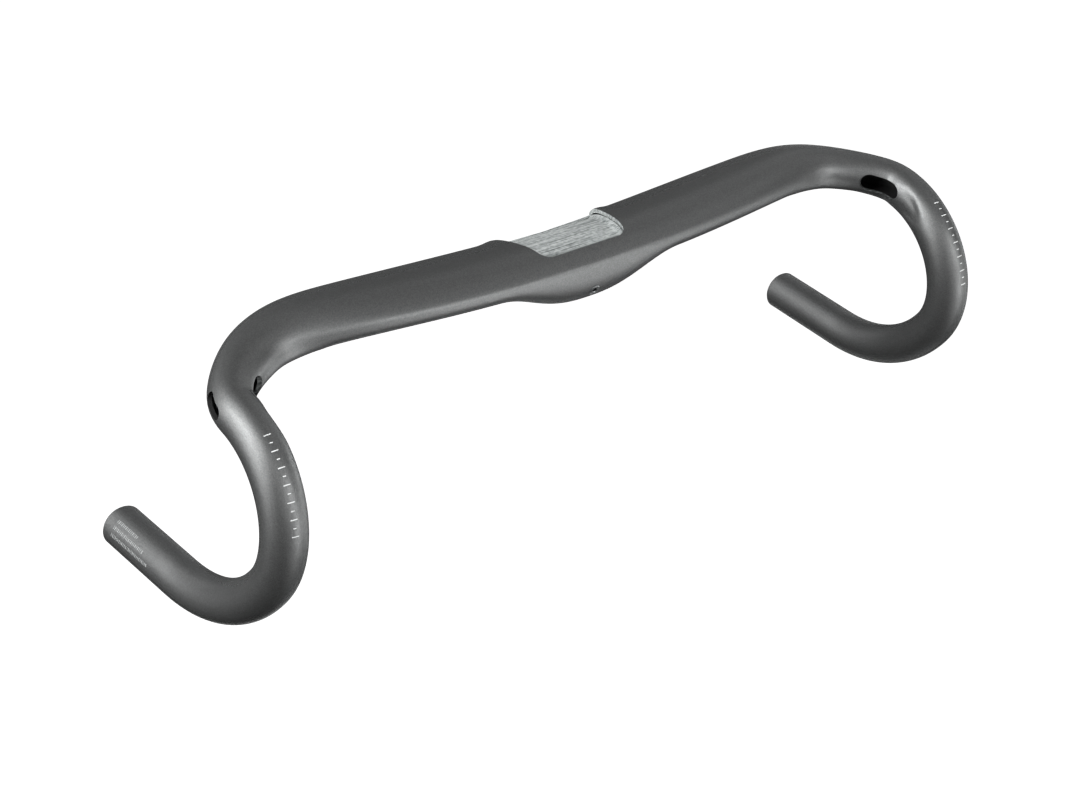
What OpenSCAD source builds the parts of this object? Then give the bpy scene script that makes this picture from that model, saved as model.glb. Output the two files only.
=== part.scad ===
// Carbon drop handlebar: flat aero top, swept bends, flared compact drops.
// +X is the rider's right, +Y is forward, +Z is up; the origin is the centre of the stem seat.

/* [Round tube] */
// Outside diameter of the hooks and drops
tube_d = 23.8; // [22.2:0.1:25.4]
// Wall of the round tube
tube_wall = 2.4; // [2:0.1:3]

/* [Flat top] */
// Wing chord, front to rear, at the stem seat
top_chord = 49.2; // [44:0.2:54]
// Wing thickness at the stem seat
top_thick = 20.8; // [18:0.2:24]
// Wall of the upper and lower skins
skin = 2.2; // [1.6:0.1:2.6]
// Distance of the ramp centrelines from the bar's middle
ramp_x = 224.4; // [190:0.2:240]
// Rearward sweep of the top where it meets the bend
top_sweep = 12.5; // [8:0.5:16]
// Droop of the leading edge below the chord
droop = 2; // [1.5:0.1:3]

/* [Drops] */
// Radius of the hook's centreline
hook_r = 50.2; // [46:0.2:56]
// Turn of the hook, degrees
hook_turn = 113.7; // [105:0.1:118]
// Radius of the lower, slower curve
low_r = 98.2; // [85:0.2:110]
// Turn of the lower curve, degrees
low_turn = 54.3; // [46:0.1:58]
// Straight at the end of the drop
end_len = 58; // [40:0.5:70]
// Slope of the ramp at the start of the hook, degrees below level
ramp_drop = 17; // [10:0.5:20]
// Outward flare of the drop from top to bottom, degrees
flare = 4.4; // [0:0.1:8]
// Outward splay of the drop towards its rear end, degrees
splay = 2.9; // [0:0.1:5]

/* [Stem seat] */
// Width of the bare seat at its front edge
seat_front_w = 56; // [48:1:62]
// Width of the bare seat at the rear edge
seat_rear_w = 71; // [62:1:74]
// Distance of the seat's front edge ahead of the middle
seat_front_y = 16; // [12:0.5:18]
// Length of the hidden core that carries the seat
core_len = 84; // [76:1:96]

/* [Nose] */
// Depth of the nose fairing below the wing
nose_depth = 14.4; // [11:0.2:15]
// Width of the nose fairing along the bar
nose_w = 120; // [100:1:130]
// Outside diameter of the threaded insert
insert_d = 5.4; // [4.6:0.1:6]
// Bore of the threaded insert, tapped M3
insert_bore = 2.5; // [2.4:0.1:2.6]
// Length of the threaded insert
insert_len = 8; // [6:0.5:9]

/* [Cable openings] */
// Length of the inner window at each bend
inner_window_len = 24; // [18:0.5:26]
// Height of the inner window
inner_window_h = 11; // [9:0.5:12]
// Length of the outer slot at each bend
outer_slot_len = 17; // [12:0.5:19]
// Height of the outer slot
outer_slot_h = 8; // [6:0.5:9]
// Depth of the hose channel on the inner side of the hook
channel_depth = 1.2; // [0.6:0.1:1.4]

/* [End plugs] */
// Thickness of the plug's flange
plug_flange = 2; // [1.5:0.1:3]
// Length of the plug's sleeve inside the tube
plug_len = 18; // [14:0.5:24]

/* [Hidden] */

paint = "dimgray";
bare_fibre = "silver";
tube_r = tube_d / 2;
bore_r = tube_r - tube_wall;
glue_gap = 0.1;
core_gap = 0.6;
joiner_gap = 0.3;
fit_gap = 0.05;
big_fn = 64;

// the ramp's start, and the tilted plane that holds each hook
ramp_start = [ramp_x, 32, -13];
plane_fore = [-sin(splay), cos(splay), 0];
plane_up = [-sin(flare) * cos(splay), -sin(flare) * sin(splay), cos(flare)];
ramp_dir = cos(ramp_drop) * plane_fore - sin(ramp_drop) * plane_up;
ramp_len = 2;

// half of the top: rows of centre x, y, z, half chord and half thickness
half_chord = top_chord / 2;
half_thick = top_thick / 2;
blend_row = ramp_start - 12 * ramp_dir;
top_rows = [
    [0, 0, 0, half_chord, half_thick],
    [44, -0.08 * top_sweep, 0.2, half_chord + 1, half_thick + 0.6],
    [88, -0.32 * top_sweep, 1.2, half_chord + 1.2, half_thick + 0.3],
    [138, -0.64 * top_sweep, 2.8, half_chord - 1.1, half_thick + 0.6],
    [170, -top_sweep, 2, half_chord - 5.5, half_thick + 2.6],
    [ramp_x - 26.4, -6, -2, tube_r + 2.3, tube_r - 1.1],
    [blend_row.x, blend_row.y, blend_row.z, tube_r - 0.5, tube_r - 0.1],
    [ramp_start.x, ramp_start.y, ramp_start.z, tube_r, tube_r]
];
row_end = len(top_rows) - 1;
joint_row = 4.25;
bend_hook_turn = 9;

// hook arcs in the tilted plane: the centres lie under each arc's start
first_heading = -ramp_drop;
second_heading = first_heading - hook_turn;
function arc_end(p, h, r, turn) = p + r * [sin(h), -cos(h)] + r * [-sin(h - turn), cos(h - turn)];
hook_at = ramp_len * [cos(first_heading), sin(first_heading)];
hook_centre = hook_at + hook_r * [sin(first_heading), -cos(first_heading)];

// a clamped cubic spline through the rows, and its slope
function padded(q) = concat([2 * q[0] - q[1]], q, [2 * q[len(q) - 1] - q[len(q) - 2]]);
top_knots = padded(top_rows);
function span(t) = min(floor(t), row_end - 1);
function row_at(t) =
    let (i = span(t), f = t - i)
    (pow(1 - f, 3) * top_knots[i]
        + (3 * pow(f, 3) - 6 * pow(f, 2) + 4) * top_knots[i + 1]
        + (-3 * pow(f, 3) + 3 * pow(f, 2) + 3 * f + 1) * top_knots[i + 2]
        + pow(f, 3) * top_knots[i + 3]) / 6;
function slope_at(t) =
    let (i = span(t), f = t - i)
    (-pow(1 - f, 2) * top_knots[i]
        + (3 * pow(f, 2) - 4 * f) * top_knots[i + 1]
        + (-3 * pow(f, 2) + 2 * f + 1) * top_knots[i + 2]
        + pow(f, 2) * top_knots[i + 3]) / 2;
function xyz(v) = [v[0], v[1], v[2]];
function unit(v) = v / norm(v);
function limit01(t) = max(0, min(1, t));
function ease(t) = let (u = limit01(t)) u * u * (3 - 2 * u);

// a station is a centre, a direction, a half chord and a half thickness
function top_station(t) =
    let (row = row_at(abs(t)), d = unit(xyz(slope_at(abs(t)))), m = t < 0 ? -1 : 1)
    [[m * row[0], row[1], row[2]], [d[0], m * d[1], m * d[2]], row[3], row[4]];
function hook_point(p) = ramp_start + p[0] * plane_fore + p[1] * plane_up;
function hook_station(turn) =
    let (h = first_heading - turn)
    [hook_point(arc_end(hook_at, first_heading, hook_r, turn)),
        cos(h) * plane_fore + sin(h) * plane_up, tube_r, tube_r];

// the section: round at the bend, a wing with a drooped nose where it is wider than thick
function section(a, b, th) =
    let (flat = limit01((a - b) / 8), n = 2 + 0.4 * flat, c = cos(th), s = sin(th),
        fore = max(c, 0), full = s > 0 ? 0.18 * c - 0.5 * pow(fore, 2) : 0.18 * min(c, 0))
    [a * sign(c) * pow(abs(c), 2 / n),
        b * sign(s) * pow(abs(s), 2 / n) * (1 + flat * full) - droop * flat * pow(fore, 4 / n)];
// how far the nose fairing hangs below the wing at a place
function nose_drop(x, y, th) =
    th <= 180 ? 0 : nose_depth * pow(limit01(1 - pow(2 * abs(x) / nose_w, 2.5)), 2.5)
        * sqrt(max(0, -sin(th))) * ease((y + 14) / 22);
function station_point(st, inset, th) =
    let (w = unit(cross([0, 0, 1], st[1])), n = cross(st[1], w), s = section(st[2] - inset, st[3] - inset, th))
    st[0] + s[0] * w + (s[1] - nose_drop(st[0][0], s[0], th)) * n;

// a solid swept through rings of equal length
module skinned(rings) {
    n = len(rings[0]);
    m = len(rings);
    points = [for (r = rings) each r];
    sides = [for (i = [0:m - 2], j = [0:n - 1])
        let (k = (j + 1) % n) each [
            [i * n + j, (i + 1) * n + j, i * n + k],
            [i * n + k, (i + 1) * n + j, (i + 1) * n + k]]];
    polyhedron(points, concat(sides,
        [[for (j = [0:n - 1]) j]],
        [[for (j = [n - 1:-1:0]) (m - 1) * n + j]]), convexity = 8);
}

// a hollow tube swept through stations, its ends closed by flat rings
module swept_shell(stations, outer, inner, count) {
    m = len(stations);
    walls = [for (inset = [outer, inner], st = stations, j = [0:count - 1])
        station_point(st, inset, 360 * j / count)];
    inside = m * count;
    sides = [for (i = [0:m - 2], j = [0:count - 1])
        let (k = (j + 1) % count, p = i * count + j, q = i * count + k) each [
            [p, p + count, q], [q, p + count, q + count],
            [p + inside, q + inside, p + inside + count],
            [q + inside, q + inside + count, p + inside + count]]];
    ends = [for (j = [0:count - 1])
        let (k = (j + 1) % count, last = (m - 1) * count) each [
            [j, k, j + inside], [k, k + inside, j + inside],
            [last + j, last + j + inside, last + k],
            [last + k, last + j + inside, last + k + inside]]];
    polyhedron(walls, concat(sides, ends), convexity = 8);
}

// half of the wing's wall, from one seam line to the other
module wing_half(first_angle) {
    count = 18;
    stations = [for (i = [-28:28]) top_station(joint_row * i / 28)];
    skinned([for (st = stations) concat(
        [for (j = [0:count]) station_point(st, 0, first_angle + 180 * j / count + (j == count ? -0.01 : 0.01))],
        [for (j = [count:-1:0])
            station_point(st, skin, first_angle + 180 * j / count + (j == count ? -0.01 : 0.01))])]);
}

// copies what it holds to the left side too
module on_side(side) {
    if (side > 0) children();
    else mirror([1, 0, 0]) children();
}

// the seat's outline: wider at the rear, open past the rear edge, round at its front corners
module seat_outline(grow) {
    corner = 6;
    front = seat_front_y - corner;
    rear = -half_chord - 4;
    hull() {
        for (m = [-1, 1]) {
            translate([m * (seat_front_w / 2 - corner), front]) circle(corner + grow, $fn = 32);
            translate([m * (seat_rear_w / 2 - 1), rear]) circle(1 + grow, $fn = 32);
        }
    }
}

// long slot with round ends, cut along its own Z
module slot_cutter(length, height, depth) {
    linear_extrude(depth, center = true) {
        square([length - height, height], center = true);
        for (m = [-1, 1]) translate([m * (length - height) / 2, 0]) circle(height / 2, $fn = 48);
    }
}

cable_exit_y = -7;
cable_exit_len = 30;
cable_exit_w = 12;
module cable_exit() {
    translate([0, cable_exit_y, -half_thick]) slot_cutter(cable_exit_len, cable_exit_w, 16);
}

// the insert points forward and down, square to the nose's face
insert_at = [0, 22.4, -15.8];
insert_tilt = 26;
module at_insert() {
    translate(insert_at) rotate([-90 - insert_tilt, 0, 0]) children();
}

module wing_upper() {
    color(paint) difference() {
        wing_half(0);
        translate([0, 0, 2]) linear_extrude(20) seat_outline(0);
    }
}

module wing_lower() {
    color(paint) difference() {
        union() {
            wing_half(180);
            // boss that holds the insert
            difference() {
                intersection() {
                    at_insert() translate([0, 0, -insert_len - 2]) cylinder(h = insert_len + 6, r = 5, $fn = 48);
                    nose_fill();
                }
                core_solid(skin);
            }
        }
        cable_exit();
        at_insert() translate([0, 0, -insert_len]) cylinder(h = insert_len + 10, d = insert_d + 2 * fit_gap, $fn = 48);
    }
}

// everything inside the wing's lower outline near the nose
module nose_fill() {
    skinned([for (x = [-8:4:8]) [for (j = [0:23])
        station_point([[x, 0, 0], [1, 0, 0], half_chord, half_thick], 0.6, 180 + 180 * j / 23)]]);
}

module stem_core() {
    color(bare_fibre) difference() {
        core_solid(skin + core_gap);
        translate([-2, 0, 0]) core_solid(skin + core_gap + 3, 4);
        cable_exit();
    }
}

// the core's outline along its length, with the inset from the wing's surface and a longer reach
module core_solid(inset, longer = 0) {
    reach = core_len + longer;
    skinned([for (i = [0:16]) core_ring(reach * i / 16 - core_len / 2, inset)]);
}

// the core is straight, and its underside stays clear of the nose
function core_ring(x, inset) = [for (j = [0:39])
    let (s = section(half_chord - inset, half_thick - inset, 9 * j)) [x, s[0], s[1]]];

module nose_insert() {
    color("gray") at_insert() difference() {
        translate([0, 0, -insert_len]) cylinder(h = insert_len, d = insert_d, $fn = 48);
        translate([0, 0, -insert_len - 1]) cylinder(h = insert_len + 2, d = insert_bore, $fn = 48);
    }
}

module wing_joiner(side) {
    inset = tube_wall + joiner_gap;
    color(bare_fibre) on_side(side)
        swept_shell([for (i = [-3:3]) top_station(joint_row + 0.1 * i)], inset, inset + 1.6, 28);
}

bend_stations = concat(
    [for (i = [0:16]) top_station(joint_row + (row_end - joint_row) * i / 16)],
    [for (i = [0:3]) hook_station(bend_hook_turn * i / 3)]);

module inner_window() {
    translate([ramp_x - 14, 26, -8.5]) rotate([0, 0, 62]) rotate([90, 0, 0]) rotate([0, 0, -12])
        slot_cutter(inner_window_len, inner_window_h, 14);
}

module outer_slot() {
    translate([ramp_x + 10.5, 25, -8]) rotate([0, 0, 84]) rotate([90, 0, 0]) rotate([0, 0, -22])
        slot_cutter(outer_slot_len, outer_slot_h, 10);
}

// hook frame: Y forward, Z up, X square to the hook's plane
module in_hook_plane() {
    translate(ramp_start) rotate([0, 0, splay]) rotate([0, -flare, 0]) children();
}

// sweeps a flat section, drawn about the tube's centre, from one turn of an arc to another
module along_arc(start, h, r, from_turn, to_turn) {
    centre = start + r * [sin(h), -cos(h)];
    translate([0, centre.x, centre.y]) rotate([90, 0, 90]) rotate([0, 0, 90 + h - to_turn])
        rotate_extrude(angle = to_turn - from_turn, $fn = big_fn) translate([r, 0]) children();
}

// the flat section's right is away from the arc's centre, its top is the hook plane's +X
module ring_section(outer, inner) {
    difference() {
        circle(outer, $fn = big_fn);
        circle(inner, $fn = big_fn);
    }
}

// part of a thin ring, centred on a direction
module ring_part(outer, inner, mid, half) {
    reach = 2 * outer;
    intersection() {
        ring_section(outer, inner);
        polygon([[0, 0], for (a = [-half, 0, half]) reach * [cos(mid + a), sin(mid + a)]]);
    }
}

module bend(side) {
    color(paint) on_side(side) difference() {
        swept_shell(bend_stations, 0, tube_wall, 36);
        inner_window();
        outer_slot();
    }
}

joiner_half = 8;
module hook_joiner(side) {
    outer = bore_r - glue_gap;
    spread = joiner_half * 180 / (PI * hook_r);
    color(bare_fibre) on_side(side) in_hook_plane()
        along_arc(hook_at, first_heading, hook_r, bend_hook_turn - 2, bend_hook_turn + spread)
            ring_section(outer, outer - 1.5);
}

// frame of the low curve's end: X from the arc's centre to the tube, -Y along the tube
module at_low_end() {
    translate([0, hook_centre.x, hook_centre.y]) rotate([90, 0, 90])
        rotate([0, 0, 90 + second_heading]) translate([hook_r - low_r, 0, 0])
            rotate([0, 0, -low_turn]) children();
}

channel_end = 26;
module hook(side) {
    color(paint) on_side(side) in_hook_plane() difference() {
        along_arc(hook_at, first_heading, hook_r, bend_hook_turn, hook_turn) ring_section(tube_r, bore_r);
        along_arc(hook_at, first_heading, hook_r, bend_hook_turn - 2, channel_end)
            ring_part(tube_r + 3, tube_r - channel_depth, -70, 46);
    }
}

// the lower curve and the straight that ends it
module drop(side) {
    color(paint) on_side(side) in_hook_plane() at_low_end() {
        rotate_extrude(angle = low_turn, $fn = big_fn) translate([low_r, 0]) ring_section(tube_r, bore_r);
        translate([low_r, 0, 0]) rotate([90, 0, 0]) linear_extrude(end_len) ring_section(tube_r, bore_r);
    }
}

// frame at the open end of the drop, Z pointing out of the tube
module at_tail(out) {
    at_low_end() translate([low_r, -end_len - out, 0]) rotate([90, 0, 0]) children();
}

// thirteen printed marks for setting the levers level, long and short by turns
scale_first = 21.4;
scale_step = 3.95;
scale_ink = 0.1;
module lever_scale(side) {
    color("white") on_side(side) in_hook_plane() for (i = [0:12]) {
        at = scale_first + scale_step * i;
        along_arc(hook_at, first_heading, hook_r, at, at + 0.46)
            ring_part(tube_r + scale_ink, tube_r, 7, i % 2 == 0 ? 9 : 4);
    }
}

module plug_cap(side) {
    flange_r = tube_r - 0.5;
    stem_r = 6;
    color("black") on_side(side) in_hook_plane() at_tail(0) {
        cylinder(h = plug_flange, r = flange_r, $fn = big_fn);
        translate([0, 0, -plug_len]) cylinder(h = plug_len, r = stem_r, $fn = big_fn);
    }
}

module plug_sleeve(side) {
    ribs = 4;
    pitch = plug_len / ribs;
    color("darkslategray") on_side(side) in_hook_plane() at_tail(-0.1) difference() {
        union() {
            translate([0, 0, 0.1 - plug_len]) cylinder(h = plug_len - 0.1, r = bore_r - 1, $fn = big_fn);
            for (i = [0:ribs - 1])
                translate([0, 0, -pitch * (i + 0.6)]) cylinder(h = 1.4, r = bore_r - fit_gap, $fn = big_fn);
        }
        translate([0, 0, -plug_len - 1]) cylinder(h = plug_len + 2, r = 6 + fit_gap, $fn = big_fn);
    }
}

wing_upper();
wing_lower();
stem_core();
nose_insert();
wing_joiner(1);  // wing_joiner_right
wing_joiner(-1);  // wing_joiner_left
bend(1);  // bend_right
bend(-1);  // bend_left
hook_joiner(1);  // hook_joiner_right
hook_joiner(-1);  // hook_joiner_left
hook(1);  // hook_right
hook(-1);  // hook_left
drop(1);  // drop_right
drop(-1);  // drop_left
lever_scale(1);  // lever_scale_right
lever_scale(-1);  // lever_scale_left
plug_cap(1);  // plug_cap_right
plug_cap(-1);  // plug_cap_left
plug_sleeve(1);  // plug_sleeve_right
plug_sleeve(-1);  // plug_sleeve_left
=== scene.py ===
"""Carbon drop handlebar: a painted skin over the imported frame, its bare seat, ink marks and plugs."""

import math

import bpy
import numpy as np
from mathutils import Matrix, Vector


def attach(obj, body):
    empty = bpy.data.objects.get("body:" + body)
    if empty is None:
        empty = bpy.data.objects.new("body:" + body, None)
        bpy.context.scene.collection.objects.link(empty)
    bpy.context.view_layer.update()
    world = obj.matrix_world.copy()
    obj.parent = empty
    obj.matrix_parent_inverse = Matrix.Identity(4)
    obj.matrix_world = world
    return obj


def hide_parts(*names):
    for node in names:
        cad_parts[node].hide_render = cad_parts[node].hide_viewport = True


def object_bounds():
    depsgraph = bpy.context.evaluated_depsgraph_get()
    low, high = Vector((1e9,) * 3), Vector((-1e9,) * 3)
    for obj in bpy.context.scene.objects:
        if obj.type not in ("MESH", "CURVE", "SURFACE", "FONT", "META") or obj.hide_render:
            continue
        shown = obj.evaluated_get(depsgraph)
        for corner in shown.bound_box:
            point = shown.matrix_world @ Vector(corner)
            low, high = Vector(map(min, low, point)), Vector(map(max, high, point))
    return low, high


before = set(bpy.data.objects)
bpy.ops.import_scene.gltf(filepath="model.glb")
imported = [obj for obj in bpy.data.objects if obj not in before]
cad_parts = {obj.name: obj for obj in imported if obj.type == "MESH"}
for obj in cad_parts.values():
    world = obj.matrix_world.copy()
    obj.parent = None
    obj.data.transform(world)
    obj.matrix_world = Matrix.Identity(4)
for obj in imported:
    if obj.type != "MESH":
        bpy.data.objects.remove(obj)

cad_low, cad_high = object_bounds()
MM = 0.001

# ---------------------------------------------------------------- the bar's sizes, in millimetres
TUBE_R = 11.9
WALL = 2.2
RAMP_START = np.array([224.4, 32.0, -13.0])
SPLAY = math.radians(2.9)
FLARE = math.radians(4.4)
RAMP_HEADING = -17.0
RAMP_LEN = 2.0
HOOK_R, HOOK_TURN = 50.2, 113.7
LOW_R, LOW_TURN = 98.2, 54.3
END_LEN = 58.0

# the hook lies in a tilted plane, spanned by a forward and an upward direction
PLANE_FORE = np.array([-math.sin(SPLAY), math.cos(SPLAY), 0.0])
PLANE_UP = np.array([
    -math.sin(FLARE) * math.cos(SPLAY), -math.sin(FLARE) * math.sin(SPLAY), math.cos(FLARE)])
PLANE_OUT = np.cross(PLANE_FORE, PLANE_UP)


def along(heading):
    """Direction in the hook's plane, its heading in degrees above level."""
    h = math.radians(heading)
    return math.cos(h) * PLANE_FORE + math.sin(h) * PLANE_UP


def away(heading):
    """Direction square to a heading, away from the hook's inside."""
    h = math.radians(heading)
    return -math.sin(h) * PLANE_FORE + math.cos(h) * PLANE_UP


# rows of the flat top: centre x, y, z, half chord and half thickness
BLEND = RAMP_START - 12 * along(RAMP_HEADING)
TOP_ROWS = np.array([
    [0, 0, 0, 24.6, 10.4],
    [44, -1, 0.2, 25.6, 11.0],
    [88, -4, 1.2, 25.8, 10.7],
    [138, -8, 2.8, 23.5, 11.0],
    [170, -12.5, 2, 19.1, 13.0],
    [198, -6, -2, 14.2, 10.8],
    [*BLEND, 11.4, 11.8],
    [*RAMP_START, TUBE_R, TUBE_R],
])
ROW_END = len(TOP_ROWS) - 1
KNOTS = np.vstack([2 * TOP_ROWS[0] - TOP_ROWS[1], TOP_ROWS, 2 * TOP_ROWS[-1] - TOP_ROWS[-2]])


def ease(t):
    """0 to 1, level at both ends."""
    u = np.clip(t, 0, 1)
    return u * u * (3 - 2 * u)


def top_row(t):
    """A cubic spline through the rows, and its slope."""
    i = min(int(t), ROW_END - 1)
    f = t - i
    weights = [(1 - f) ** 3, 3 * f ** 3 - 6 * f ** 2 + 4, -3 * f ** 3 + 3 * f ** 2 + 3 * f + 1, f ** 3]
    slopes = [-(1 - f) ** 2, 3 * f ** 2 - 4 * f, -3 * f ** 2 + 2 * f + 1, f ** 2]
    return np.dot(weights, KNOTS[i:i + 4]) / 6, np.dot(slopes, KNOTS[i:i + 4]) / 2


def unit(v):
    return v / np.linalg.norm(v)


def top_station(t):
    """Centre, direction to the leading edge, direction up, half chord and half thickness."""
    row, slope = top_row(t)
    ahead = unit(slope[:3])
    lead = unit(np.cross([0, 0, 1], ahead))
    turn = ease(t - (ROW_END - 1))
    lead = unit((1 - turn) * lead - turn * PLANE_OUT)
    return row[:3], lead, np.cross(ahead, lead), row[3], row[4]


def arc_stations(start, heading, radius, turn, step):
    """Round stations along an arc that turns down, its start left out, and where it ends."""
    centre = start - radius * away(heading)
    count = math.ceil(math.radians(turn) * radius / step)
    turns = [turn * (i + 1) / count for i in range(count)]
    rows = [(centre + radius * away(heading - a), -PLANE_OUT, away(heading - a), TUBE_R, TUBE_R)
            for a in turns]
    return rows, rows[-1][0]


def half_bar(step):
    """Stations from the middle of the bar to the end of the right drop."""
    fine = [top_row(ROW_END * i / 800)[0][:3] for i in range(801)]
    lengths = np.concatenate([[0], np.cumsum(np.linalg.norm(np.diff(fine, axis=0), axis=1))])
    count = math.ceil(lengths[-1] / step)
    places = np.interp(np.linspace(0, lengths[-1], count + 1), lengths, np.linspace(0, ROW_END, 801))
    rows = [top_station(t) for t in places]
    hook_start = RAMP_START + RAMP_LEN * along(RAMP_HEADING)
    rows.append((hook_start, -PLANE_OUT, away(RAMP_HEADING), TUBE_R, TUBE_R))
    hook, hook_end = arc_stations(hook_start, RAMP_HEADING, HOOK_R, HOOK_TURN, step)
    low_heading = RAMP_HEADING - HOOK_TURN
    low, low_end = arc_stations(hook_end, low_heading, LOW_R, LOW_TURN, step)
    end_heading = low_heading - LOW_TURN
    count = math.ceil(END_LEN / step)
    straight = [(low_end + END_LEN * (i + 1) / count * along(end_heading), -PLANE_OUT,
                 away(end_heading), TUBE_R, TUBE_R) for i in range(count)]
    return rows + hook + low + straight


NOSE_DEPTH, NOSE_W = 14.4, 120.0
DROOP = 2.0


def section(a, b, th):
    """Offsets to the front and up: a circle at the bends, a wing with a drooped nose on the flat top."""
    flat = np.clip((a - b) / 8, 0, 1)
    n = 2 + 0.4 * flat
    c, s = np.cos(th), np.sin(th)
    front = a * np.sign(c) * np.abs(c) ** (2 / n)
    fore = np.clip(c, 0, None)
    full = np.where(s > 0, 0.18 * c - 0.5 * fore ** 2, 0.18 * np.minimum(c, 0))
    up = b * np.sign(s) * np.abs(s) ** (2 / n) * (1 + flat * full) - DROOP * flat * fore ** (4 / n)
    return front, up


def nose_drop(x, front, th):
    """How far the nose fairing hangs below the wing."""
    under = np.sqrt(np.clip(-np.sin(th), 0, None))
    across = np.clip(1 - np.abs(2 * x / NOSE_W) ** 2.5, 0, None) ** 2.5
    return NOSE_DEPTH * across * under * ease((front + 14) / 22)


CHANNEL_DEPTH = 1.5
CHANNEL_MID, CHANNEL_HALF = 14.0, 50.0
SWELL = 1.8


def channel(s, th):
    """Depth of the hose channel on the inner side of the ramp, at a length along the bar."""
    deg = (np.degrees(th) + 180) % 360 - 180
    across = ease((CHANNEL_HALF - np.abs(deg - CHANNEL_MID)) / 34)
    end = 275 - 14 * ((deg - 12) / 46) ** 2
    return CHANNEL_DEPTH * across * ease((s - 246) / 16) * ease((end - s) / 10)


def swell(s, th):
    """Height of the full corner under the leading edge where the wing turns into the ramp."""
    deg = np.degrees(th) % 360
    return SWELL * ease(1 - np.abs(deg - 328) / 30) * ease((s - 150) / 36) * ease((236 - s) / 34)


def shoulder(s, th):
    """Height of the skin's raised shoulder behind each end of the seat."""
    deg = np.degrees(th) % 360
    return 1.1 * math.exp(-((s - 37) / 5) ** 2) * ease(1 - np.abs(deg - 138) / 50)


def surface(stations, inset, angles):
    """Points of the bar's surface: one ring of angles at each station, mirrored to both sides."""
    centres = np.array([st[0] for st in stations])
    lengths = np.concatenate([[0], np.cumsum(np.linalg.norm(np.diff(centres, axis=0), axis=1))])
    rings = []
    for (centre, lead, up, a, b), s in zip(stations, lengths):
        front, high = section(a - inset, b - inset, angles)
        high = high - nose_drop(centre[0], front, angles)
        cut = channel(s, angles) - swell(s, angles) - shoulder(s, angles)
        front = front - cut * np.cos(angles)
        high = high - cut * np.sin(angles)
        rings.append(centre + front[:, None] * lead + high[:, None] * up)
    right = np.array(rings)
    left = right[:0:-1] * [-1, 1, 1]
    return np.concatenate([left, right])


# ---------------------------------------------------------------- mesh helpers
def deselect():
    if bpy.context.mode != "OBJECT":
        bpy.ops.object.mode_set(mode="OBJECT")
    bpy.ops.object.select_all(action="DESELECT")


def activate(obj):
    deselect()
    obj.select_set(True)
    bpy.context.view_layer.objects.active = obj


def apply_all(obj):
    activate(obj)
    for modifier in list(obj.modifiers):
        bpy.ops.object.modifier_apply(modifier=modifier.name)


def settle(obj):
    """Puts the object's place in its mesh."""
    activate(obj)
    bpy.ops.object.transform_apply(location=True, rotation=True, scale=True)


def smooth(obj, degrees):
    activate(obj)
    bpy.ops.object.shade_smooth_by_angle(angle=math.radians(degrees))


def wrapped_sheet(name, points, closed):
    """A grid laid on rows of points, in millimetres, and sewn round where the rows close."""
    deselect()
    rows, count = points.shape[:2]
    bpy.ops.mesh.primitive_grid_add(x_subdivisions=count - 1, y_subdivisions=rows - 1, size=1)
    obj = bpy.context.object
    obj.name = name
    obj.data.name = name
    obj.data.vertices.foreach_set("co", (points * MM).astype(np.float32).ravel())
    if closed:
        bpy.ops.object.mode_set(mode="EDIT")
        bpy.ops.mesh.select_all(action="SELECT")
        bpy.ops.mesh.remove_doubles(threshold=1e-7)
        bpy.ops.mesh.normals_make_consistent(inside=False)
        bpy.ops.object.mode_set(mode="OBJECT")
    obj.data.update()
    return obj


def dress(obj, *materials):
    obj.data.materials.clear()
    for m in materials:
        obj.data.materials.append(m)


def cut(obj, cutters):
    for cutter in cutters:
        modifier = obj.modifiers.new("cut", "BOOLEAN")
        modifier.operation = "DIFFERENCE"
        modifier.object = cutter
        modifier.solver = "MANIFOLD"
        modifier.material_mode = "TRANSFER"
        apply_all(obj)
        bpy.data.objects.remove(cutter)


def slot_cutter(name, length, height, depth, place, turns):
    """A rounded slot: a cylinder drawn out to the slot's length, turned and put at its place."""
    deselect()
    bpy.ops.mesh.primitive_cylinder_add(vertices=64, radius=height / 2 * MM, depth=depth * MM)
    obj = bpy.context.object
    obj.name = name
    half = (length - height) / 2 * MM
    for v in obj.data.vertices:
        v.co.x += half if v.co.x > 0 else -half
    turn = Matrix.Identity(4)
    for degrees, axis in turns:
        turn = turn @ Matrix.Rotation(math.radians(degrees), 4, axis)
    obj.matrix_world = Matrix.Translation(Vector(place) * MM) @ turn
    settle(obj)
    return obj


def mirrored(obj, name):
    """A copy on the bar's left side, its faces turned the right way again."""
    twin = obj.copy()
    twin.data = obj.data.copy()
    twin.name = name
    twin.data.name = name
    bpy.context.collection.objects.link(twin)
    twin.data.transform(Matrix.Scale(-1, 4, (1, 0, 0)))
    twin.data.flip_normals()
    return twin


# ---------------------------------------------------------------- materials
def colour(code):
    """An sRGB hex colour as linear red, green, blue and alpha."""
    parts = [int(code[i:i + 2], 16) / 255 for i in (1, 3, 5)]
    return [*(p / 12.92 if p <= 0.04045 else ((p + 0.055) / 1.055) ** 2.4 for p in parts), 1.0]


def new_material(name):
    m = bpy.data.materials.new(name)
    m.use_nodes = True
    return m, m.node_tree.nodes["Principled BSDF"]


def add(m, kind, links=(), **settings):
    """Adds a node; a setting is a property or an input, and a link is (output, input)."""
    node = m.node_tree.nodes.new(kind)
    for key, value in settings.items():
        if hasattr(node, key):
            setattr(node, key, value)
        else:
            node.inputs[key.replace("_", " ")].default_value = value
    for source, target in links:
        m.node_tree.links.new(source, node.inputs[target])
    return node


def link(m, source, target):
    m.node_tree.links.new(source, target)


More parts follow.
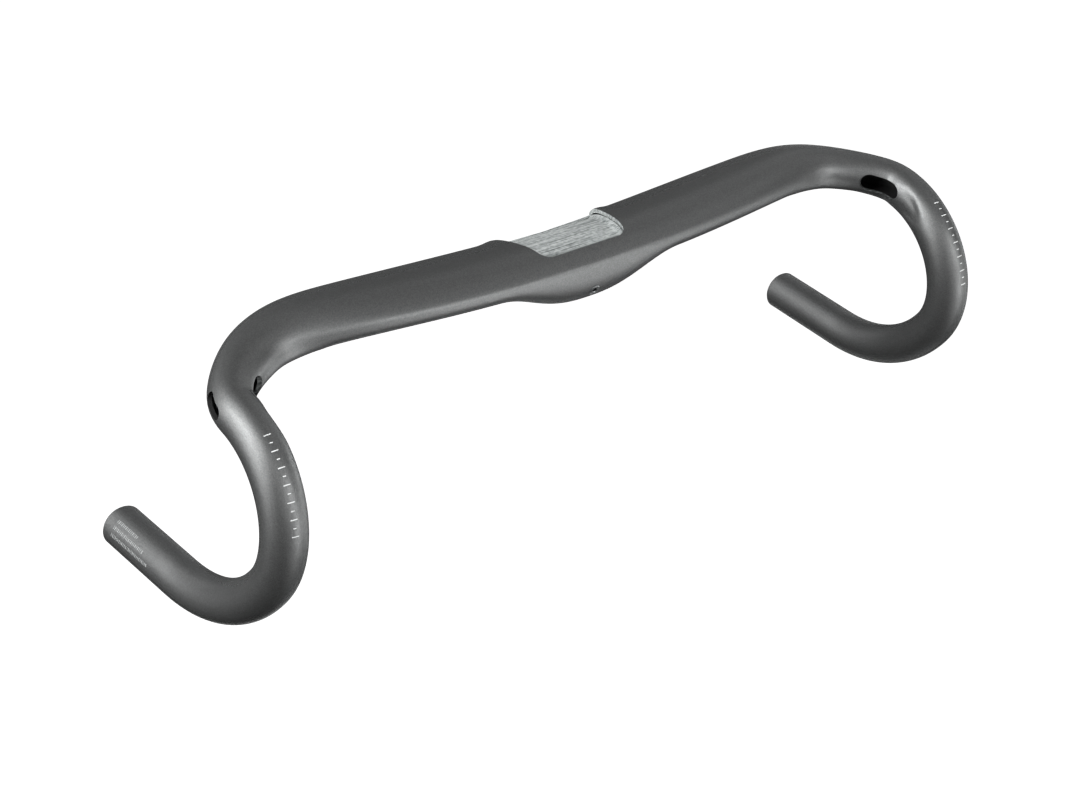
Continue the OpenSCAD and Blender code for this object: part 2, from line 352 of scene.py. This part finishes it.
def flakes_in(m, low, high, scale):
    """A value that differs from one flake to the next, between two limits."""
    place = add(m, "ShaderNodeTexCoord").outputs["Object"]
    cells = add(m, "ShaderNodeTexVoronoi", [(place, "Vector")], Scale=scale)
    shade = add(m, "ShaderNodeMapRange", [(cells.outputs["Color"], "Value")])
    shade.inputs["To Min"].default_value = low
    shade.inputs["To Max"].default_value = high
    return shade.outputs["Result"]


def tones(m, value, low, high, low_at=0.0, high_at=1.0):
    """Two tones blended by a value."""
    ramp = add(m, "ShaderNodeValToRGB", [(value, "Fac")])
    for element, code, at in zip(ramp.color_ramp.elements, (low, high), (low_at, high_at)):
        element.position = at
        element.color = colour(code)
    return ramp.outputs["Color"]


def paint_material():
    """Gives the eye a dark, silky grey that sparkles finely where the light grazes it."""
    m, shader = new_material("satin_graphite_flake_paint")
    link(m, tones(m, flakes_in(m, 0, 1, 2200), PAINT_LOW, PAINT_HIGH), shader.inputs["Base Color"])
    link(m, flakes_in(m, 0.44, 0.52, 1500), shader.inputs["Roughness"])
    shader.inputs["Metallic"].default_value = 0.85
    shader.inputs["Specular Tint"].default_value = (0.15, 0.15, 0.15, 1)
    shader.inputs["Specular IOR Level"].default_value = 0.2
    return m


def drawn_grain(m, place, scale, detail=4):
    """Grain drawn out by a scale along each axis, in turns per metre."""
    stretch = add(m, "ShaderNodeMapping", [(place, "Vector")])
    stretch.inputs["Scale"].default_value = scale
    grain = add(m, "ShaderNodeTexNoise", [(stretch.outputs["Vector"], "Vector")], Scale=1, Detail=detail)
    return grain.outputs["Fac"]


def fibre_material():
    """Gives the eye bare laminate: pale and brushed along the bar, with dark resin streaks and, towards its
    front, painted shade in patches where the skin's front edge shades the seat."""
    m, shader = new_material("sanded_fibre_laminate")
    place = add(m, "ShaderNodeTexCoord").outputs["Object"]
    streaks = drawn_grain(m, place, (28, 1300, 1300), 6)
    mottle = drawn_grain(m, place, (420, 520, 520))
    strong = add(m, "ShaderNodeMath", [(streaks, 0)], operation="MULTIPLY")
    strong.inputs[1].default_value = STREAK_WEIGHT
    total = add(m, "ShaderNodeMath", [(strong.outputs["Value"], 0), (mottle, 1)], operation="ADD")
    share = add(m, "ShaderNodeMath", [(total.outputs["Value"], 0)], operation="DIVIDE")
    share.inputs[1].default_value = STREAK_WEIGHT + 1
    base = tones(m, share.outputs["Value"], FIBRE_LOW, FIBRE_HIGH, 0.36, 0.6)
    split = add(m, "ShaderNodeSeparateXYZ", [(place, "Vector")])
    # painted shade: the laminate turns dark in patches forward of y 9 mm, standing in for the shade along
    # the seat's front edge
    front = add(m, "ShaderNodeMapRange", [(split.outputs["Y"], "Value")], interpolation_type="SMOOTHSTEP")
    front.inputs["From Min"].default_value = 0.009
    front.inputs["From Max"].default_value = 0.0165
    front_shade = add(m, "ShaderNodeMath", [(front.outputs["Result"], 0), (mottle, 1)], operation="MULTIPLY")
    shade = add(m, "ShaderNodeMapRange", [(front_shade.outputs["Value"], "Value")])
    shade.inputs["From Min"].default_value = 0.2
    shade.inputs["From Max"].default_value = 0.55
    mix = add(m, "ShaderNodeMix", [(shade.outputs["Result"], "Factor")], data_type="RGBA")
    link(m, base, mix.inputs["A"])
    mix.inputs["B"].default_value = colour(SEAT_FRONT_SHADE)
    link(m, mix.outputs["Result"], shader.inputs["Base Color"])
    bump = add(m, "ShaderNodeBump", [(streaks, "Height")], Strength=0.4, Distance=0.0002)
    link(m, bump.outputs["Normal"], shader.inputs["Normal"])
    shader.inputs["Roughness"].default_value = 0.55
    return m


def simple_material(name, code, rough, metal=0.0):
    """One even colour, its shine broken up by a fine grain."""
    m, shader = new_material(name)
    place = add(m, "ShaderNodeTexCoord").outputs["Object"]
    grain = add(m, "ShaderNodeTexNoise", [(place, "Vector")], Scale=900, Detail=3)
    shade = add(m, "ShaderNodeMapRange", [(grain.outputs["Fac"], "Value")])
    shade.inputs["To Min"].default_value = rough - 0.08
    shade.inputs["To Max"].default_value = rough + 0.08
    link(m, shade.outputs["Result"], shader.inputs["Roughness"])
    shader.inputs["Base Color"].default_value = colour(code)
    shader.inputs["Metallic"].default_value = metal
    return m


PAINT_LOW, PAINT_HIGH = "#606161", "#737474"
# the last of these colours is painted shade for the seat's front edge, not a colour of the laminate
FIBRE_LOW, FIBRE_HIGH, SEAT_FRONT_SHADE = "#505555", "#a6aaa9", "#242626"
STREAK_WEIGHT = 1.6
paint = paint_material()
fibre = fibre_material()
# gives the eye the dark, dull inside of the tube and its cut edges
dark_laminate = simple_material("unpainted_carbon_laminate", "#161616", 0.6)
# gives the eye crisp, chalky marks
ink = simple_material("white_pad_ink", "#d8dada", 0.55)
# gives the eye print that is worn thin
faded_ink = simple_material("grey_pad_ink", "#8b8d8d", 0.6)
# gives the eye one small, cool glint at the nose
steel = simple_material("nickel_plated_insert", "#8c8f90", 0.35, 1.0)
# gives the eye a dull black end to each drop
rubber = simple_material("black_plug_rubber", "#1d1d1e", 0.6)

# ---------------------------------------------------------------- the painted skin
RING = 96
ring_angles = np.linspace(0, 2 * math.pi, RING + 1)
stations = half_bar(2.2)
skin = wrapped_sheet("painted_skin", surface(stations, 0, ring_angles), True)
dress(skin, paint, dark_laminate)
wall = skin.modifiers.new("wall", "SOLIDIFY")
wall.thickness = WALL * MM
wall.offset = -1
wall.use_even_offset = True
wall.material_offset = 1
wall.material_offset_rim = 1
apply_all(skin)

SEAT_FRONT_W, SEAT_REAR_W, SEAT_FRONT_Y, SEAT_CORNER = 56.0, 71.0, 16.0, 6.0


def seat_half(y):
    """Half the seat's width at a distance forward."""
    slope = (SEAT_REAR_W - SEAT_FRONT_W) / 2 / (SEAT_FRONT_Y + 28.6)
    return SEAT_FRONT_W / 2 + slope * (SEAT_FRONT_Y - y)


def seat_cutter():
    """The seat's outline: wider at the rear, open past the rear edge, round at its front corners."""
    deselect()
    bpy.ops.mesh.primitive_cube_add(size=1, location=(0, 0, 0))
    obj = bpy.context.object
    rear = -34.0
    low, high = 2.0, 30.0
    for v in obj.data.vertices:
        y = SEAT_FRONT_Y if v.co.y > 0 else rear
        v.co = Vector((math.copysign(seat_half(y), v.co.x), y, high if v.co.z > 0 else low)) * MM
    activate(obj)
    bpy.ops.object.mode_set(mode="EDIT")
    bpy.ops.mesh.select_all(action="DESELECT")
    bpy.ops.object.mode_set(mode="OBJECT")
    for e in obj.data.edges:
        a, b = (obj.data.vertices[i].co for i in e.vertices)
        e.select = abs(a.z - b.z) > 0.01 and a.y > 0
    bpy.ops.object.mode_set(mode="EDIT")
    bpy.ops.mesh.select_mode(type="EDGE")
    bpy.ops.mesh.bevel(offset=SEAT_CORNER * MM, segments=14, affect="EDGES")
    bpy.ops.object.mode_set(mode="OBJECT")
    dress(obj, fibre)
    return obj


def inner_window_cutter():
    obj = slot_cutter("inner_window", 23.5, 10, 14, (RAMP_START[0] - 14, 26, -9.6),
                      [(62, "Z"), (90, "X"), (-14, "Z")])
    dress(obj, fibre)
    return obj


def outer_slot_cutter():
    obj = slot_cutter("outer_slot", 16, 6.6, 10, (RAMP_START[0] + 10.5, 25, -8),
                      [(84, "Z"), (90, "X"), (-22, "Z")])
    dress(obj, dark_laminate)
    return obj


INSERT_AT, INSERT_TILT = (0, 22.4, -15.8), 26
INSERT_FACE = (0, 22.5, -15.85)


def insert_cutter():
    obj = slot_cutter("insert_hole", 5.6, 5.6, 40, INSERT_AT, [(-90 - INSERT_TILT, "X")])
    dress(obj, dark_laminate)
    return obj


def cable_exit_cutter():
    obj = slot_cutter("cable_exit", 30, 12, 16, (0, -7, -10.4), [(0, "X")])
    dress(obj, dark_laminate)
    return obj


windows = [inner_window_cutter(), outer_slot_cutter()]
windows += [mirrored(c, c.name + "_left") for c in windows]
cut(skin, [seat_cutter(), cable_exit_cutter(), insert_cutter(), *windows])
smooth(skin, 35)
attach(skin, "bar")
sides = ("right", "left")
tubes = [f"{n}_{s}" for n in ("bend", "hook", "drop") for s in sides]
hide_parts("wing_upper", "wing_lower", *tubes)

# ---------------------------------------------------------------- the bare core under the seat
CORE_HALF, CORE_INSET, LIP_RISE, LIP_W = 42.0, 2.45, 1.55, 5.5
CORE_WALL = 3.0
CORE_CHORD, CORE_THICK = TOP_ROWS[0][3:]
CORE_GRID = 201


def core_rings():
    """Rings of the core: sunk below the skin, with a lip that turns up before the seat's sides."""
    angles = np.linspace(0, 2 * math.pi, CORE_GRID)
    rings = []
    for x in np.linspace(-CORE_HALF, CORE_HALF, CORE_GRID):
        front, _ = section(CORE_CHORD - CORE_INSET, CORE_THICK - CORE_INSET, angles)
        gap = seat_half(front) - abs(x)
        top = ease(np.sin(angles) / 0.25)
        lip = LIP_RISE * ease(1 - gap / LIP_W) * ease((gap - 0.5) / 0.5)
        inset = CORE_INSET - lip * top + 1.6 * ease((0.75 - gap) / 0.4)
        front, high = section(CORE_CHORD - inset, CORE_THICK - inset, angles)
        rings.append(np.stack([np.full_like(front, x), front, high], axis=1))
    return np.array(rings)


core = wrapped_sheet("seat_core", core_rings(), True)
dress(core, fibre)
wall = core.modifiers.new("wall", "SOLIDIFY")
wall.thickness = CORE_WALL * MM
wall.offset = -1
apply_all(core)
cut(core, [cable_exit_cutter()])
smooth(core, 40)
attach(core, "bar")
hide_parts("stem_core")


# ---------------------------------------------------------------- turned pieces
def turned(name, profile, place, axis, material, count=96):
    """A profile of (radius, height) turned about an axis. It starts and ends on the axis, or closes on
    itself."""
    axis = unit(np.array(axis, float))
    side = unit(np.cross(axis, [1, 0, 0]))
    other = np.cross(axis, side)
    turns = np.linspace(0, 2 * math.pi, count + 1)
    rows = [np.array(place) + h * axis + r * (np.cos(turns)[:, None] * side + np.sin(turns)[:, None] * other)
            for r, h in profile]
    obj = wrapped_sheet(name, np.array(rows), True)
    dress(obj, material)
    smooth(obj, 30)
    return obj


tilt = math.radians(INSERT_TILT)
INSERT = [(1.35, -7.8), (1.35, 0.2), (1.6, 0.45), (2.9, 0.45), (3.1, 0.3), (3.1, 0.0), (2.6, -0.2),
          (2.6, -7.8), (1.35, -7.8)]
insert_axis = (0, math.cos(tilt), -math.sin(tilt))
insert = turned("threaded_insert", INSERT, INSERT_FACE, insert_axis, steel, 64)
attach(insert, "bar")
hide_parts("nose_insert")

end_station = stations[-1]
end_axis = unit(end_station[0] - stations[-2][0])
PLUG = [(0, 2.0), (3.2, 2.0), (3.5, 1.7), (9.6, 1.7), (10.6, 1.45), (11.2, 0.95), (11.4, 0.3),
        (11.3, 0.05), (9.4, 0.05)]
RIBS, RIB_PITCH = 4, 4.2
for rib in range(RIBS):
    deep = -RIB_PITCH * rib - 1.4
    PLUG += [(8.5, deep), (9.3, deep - 0.5), (9.3, deep - 1.9), (8.5, deep - 2.4)]
PLUG += [(8.5, -17.4), (8.0, -17.9), (0, -17.9)]
for side, sign in (("right", 1), ("left", -1)):
    flip = np.array([sign, 1, 1])
    plug = turned("end_plug_" + side, PLUG, end_station[0] * flip, end_axis * flip, rubber)
    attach(plug, "plug_" + side)
    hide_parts("plug_cap_" + side, "plug_sleeve_" + side)

# ---------------------------------------------------------------- three rows of plain printed dashes
DASH_H = 1.8
DASH_LENGTHS = (0.5, 0.8, 0.4, 0.7, 0.5)
DASH_GAP = 0.75
DASH_START = 8.0
# each row: its angle round the drop and its reach along it
DASH_ROWS = ((232, 19), (213, 29), (192, 36))
INK_LIFT = 0.04


def dash(name, back, length, degrees):
    """A thin patch of ink on the right drop's straight end, a distance back from its end."""
    half = DASH_H / 2 / TUBE_R
    turns = math.radians(degrees) + np.linspace(-half, half, 5)
    rows = [end_station[0] - (back + length * i / 2) * end_axis
            + (TUBE_R + INK_LIFT) * (
                np.cos(turns)[:, None] * end_station[1] + np.sin(turns)[:, None] * end_station[2])
            for i in range(3)]
    obj = wrapped_sheet(name, np.array(rows), False)
    wall = obj.modifiers.new("wall", "SOLIDIFY")
    wall.thickness = 2 * INK_LIFT * MM
    wall.offset = 0
    apply_all(obj)
    return obj


dashes = []
for degrees, reach in DASH_ROWS:
    back, i = DASH_START, 0
    while back < DASH_START + reach:
        length = DASH_LENGTHS[i % len(DASH_LENGTHS)]
        dashes.append(dash(f"dash_{len(dashes)}", back, length, degrees))
        back += length + DASH_GAP
        i += 1
deselect()
for d in dashes:
    d.select_set(True)
bpy.context.view_layer.objects.active = dashes[0]
bpy.ops.object.join()
rows = bpy.context.object
rows.name = "printed_rows"
bpy.ops.object.mode_set(mode="EDIT")
bpy.ops.mesh.select_all(action="SELECT")
bpy.ops.mesh.normals_make_consistent(inside=False)
bpy.ops.object.mode_set(mode="OBJECT")
dress(rows, faded_ink)
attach(rows, "bar")

# ---------------------------------------------------------------- carried-over nodes
for name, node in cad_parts.items():
    if name.startswith(("stem_core", "wing_joiner", "hook_joiner")):
        dress(node, fibre)
    elif name.startswith("lever_scale"):
        dress(node, ink)
    elif name.startswith("nose_insert"):
        dress(node, steel)
    elif name.startswith("plug"):
        dress(node, rubber)

# ---------------------------------------------------------------- stage, light and camera
def floor_material():
    """Gives the eye a seamless white sweep, with a trace of paper grain."""
    m, shader = new_material("white_studio_sweep")
    place = add(m, "ShaderNodeTexCoord").outputs["Object"]
    grain = add(m, "ShaderNodeTexNoise", [(place, "Vector")], Scale=40)
    link(m, tones(m, grain.outputs["Fac"], "#fdfdfd", "#ffffff"), shader.inputs["Base Color"])
    shader.inputs["Roughness"].default_value = 0.9
    shader.inputs["Emission Color"].default_value = (1, 1, 1, 1)
    shader.inputs["Emission Strength"].default_value = 1.0
    return m


bpy.ops.mesh.primitive_plane_add(size=80, location=(0, 0, cad_low.z - 3.2))
floor = bpy.context.object
floor.name = "floor"
dress(floor, floor_material())
floor.visible_glossy = False
floor.visible_diffuse = False

world = bpy.data.worlds.new("studio")
bpy.context.scene.world = world
world.use_nodes = True
world.node_tree.nodes["Background"].inputs["Color"].default_value = (1, 1, 1, 1)
world.node_tree.nodes["Background"].inputs["Strength"].default_value = 0.04

# soft round panels 3 m away: direction towards each, and its share of the light
PANELS = [
    (0.76, -0.17, 0.62, 0.0767), (-0.99, -0.09, -0.07, 0.05), (0.61, 0.22, 0.76, 0.0472),
    (0.91, 0.12, 0.40, 0.0378), (-0.47, 0.81, -0.35, 0.0362), (-0.28, -0.62, -0.74, 0.031),
    (-0.38, 0.90, 0.24, 0.042), (-0.90, 0.11, -0.43, 0.0231), (0.88, -0.40, 0.26, 0.0216),
    (-0.79, -0.61, 0.07, 0.0205), (1.00, -0.08, 0.04, 0.0199), (-0.41, -0.26, -0.88, 0.0182),
    (0.45, -0.29, 0.85, 0.0161), (-0.91, -0.29, 0.29, 0.0112), (-0.87, 0.45, -0.21, 0.0111),
    (0.17, 0.98, 0.10, 0.0099), (0.22, 0.70, 0.68, 0.0066), (-0.04, 0.89, 0.46, 0.0061),
    (-0.22, 0.67, -0.71, 0.0061), (-0.63, 0.26, 0.74, 0.006), (0.21, -0.91, 0.35, 0.0059),
    (-0.66, -0.38, 0.65, 0.0053), (-0.33, -0.92, 0.21, 0.0047), (0.03, 0.87, -0.49, 0.0041),
]
POWER = 860
for i, (x, y, z, share) in enumerate(PANELS):
    data = bpy.data.lights.new(f"panel_{i}", "AREA")
    data.shape = "DISK"
    data.size = 1.3
    data.energy = POWER * share
    panel = bpy.data.objects.new(f"panel_{i}", data)
    bpy.context.collection.objects.link(panel)
    panel.location = Vector((x, y, z)).normalized() * 3
    panel.rotation_mode = "QUATERNION"
    panel.rotation_quaternion = (-panel.location).to_track_quat("-Z", "Y")

camera_data = bpy.data.cameras.new("camera")
camera_data.lens = 73.5
camera_data.sensor_width = 36
camera = bpy.data.objects.new("camera", camera_data)
bpy.context.collection.objects.link(camera)
bpy.context.scene.camera = camera
camera_data.clip_start, camera_data.clip_end = 0.05, 50
right = Vector((-0.7953, 0.6061, -0.0143))
down = Vector((0.2888, 0.358, -0.8879))
forward = Vector((-0.533, -0.7103, -0.4598))
camera.matrix_world = Matrix.Translation((0.66878, 0.86373, 0.47849)) @ Matrix(
    (right, -down, -forward)).transposed().to_4x4()

bpy.context.scene.view_settings.view_transform = "Standard"

bpy.context.view_layer.update()
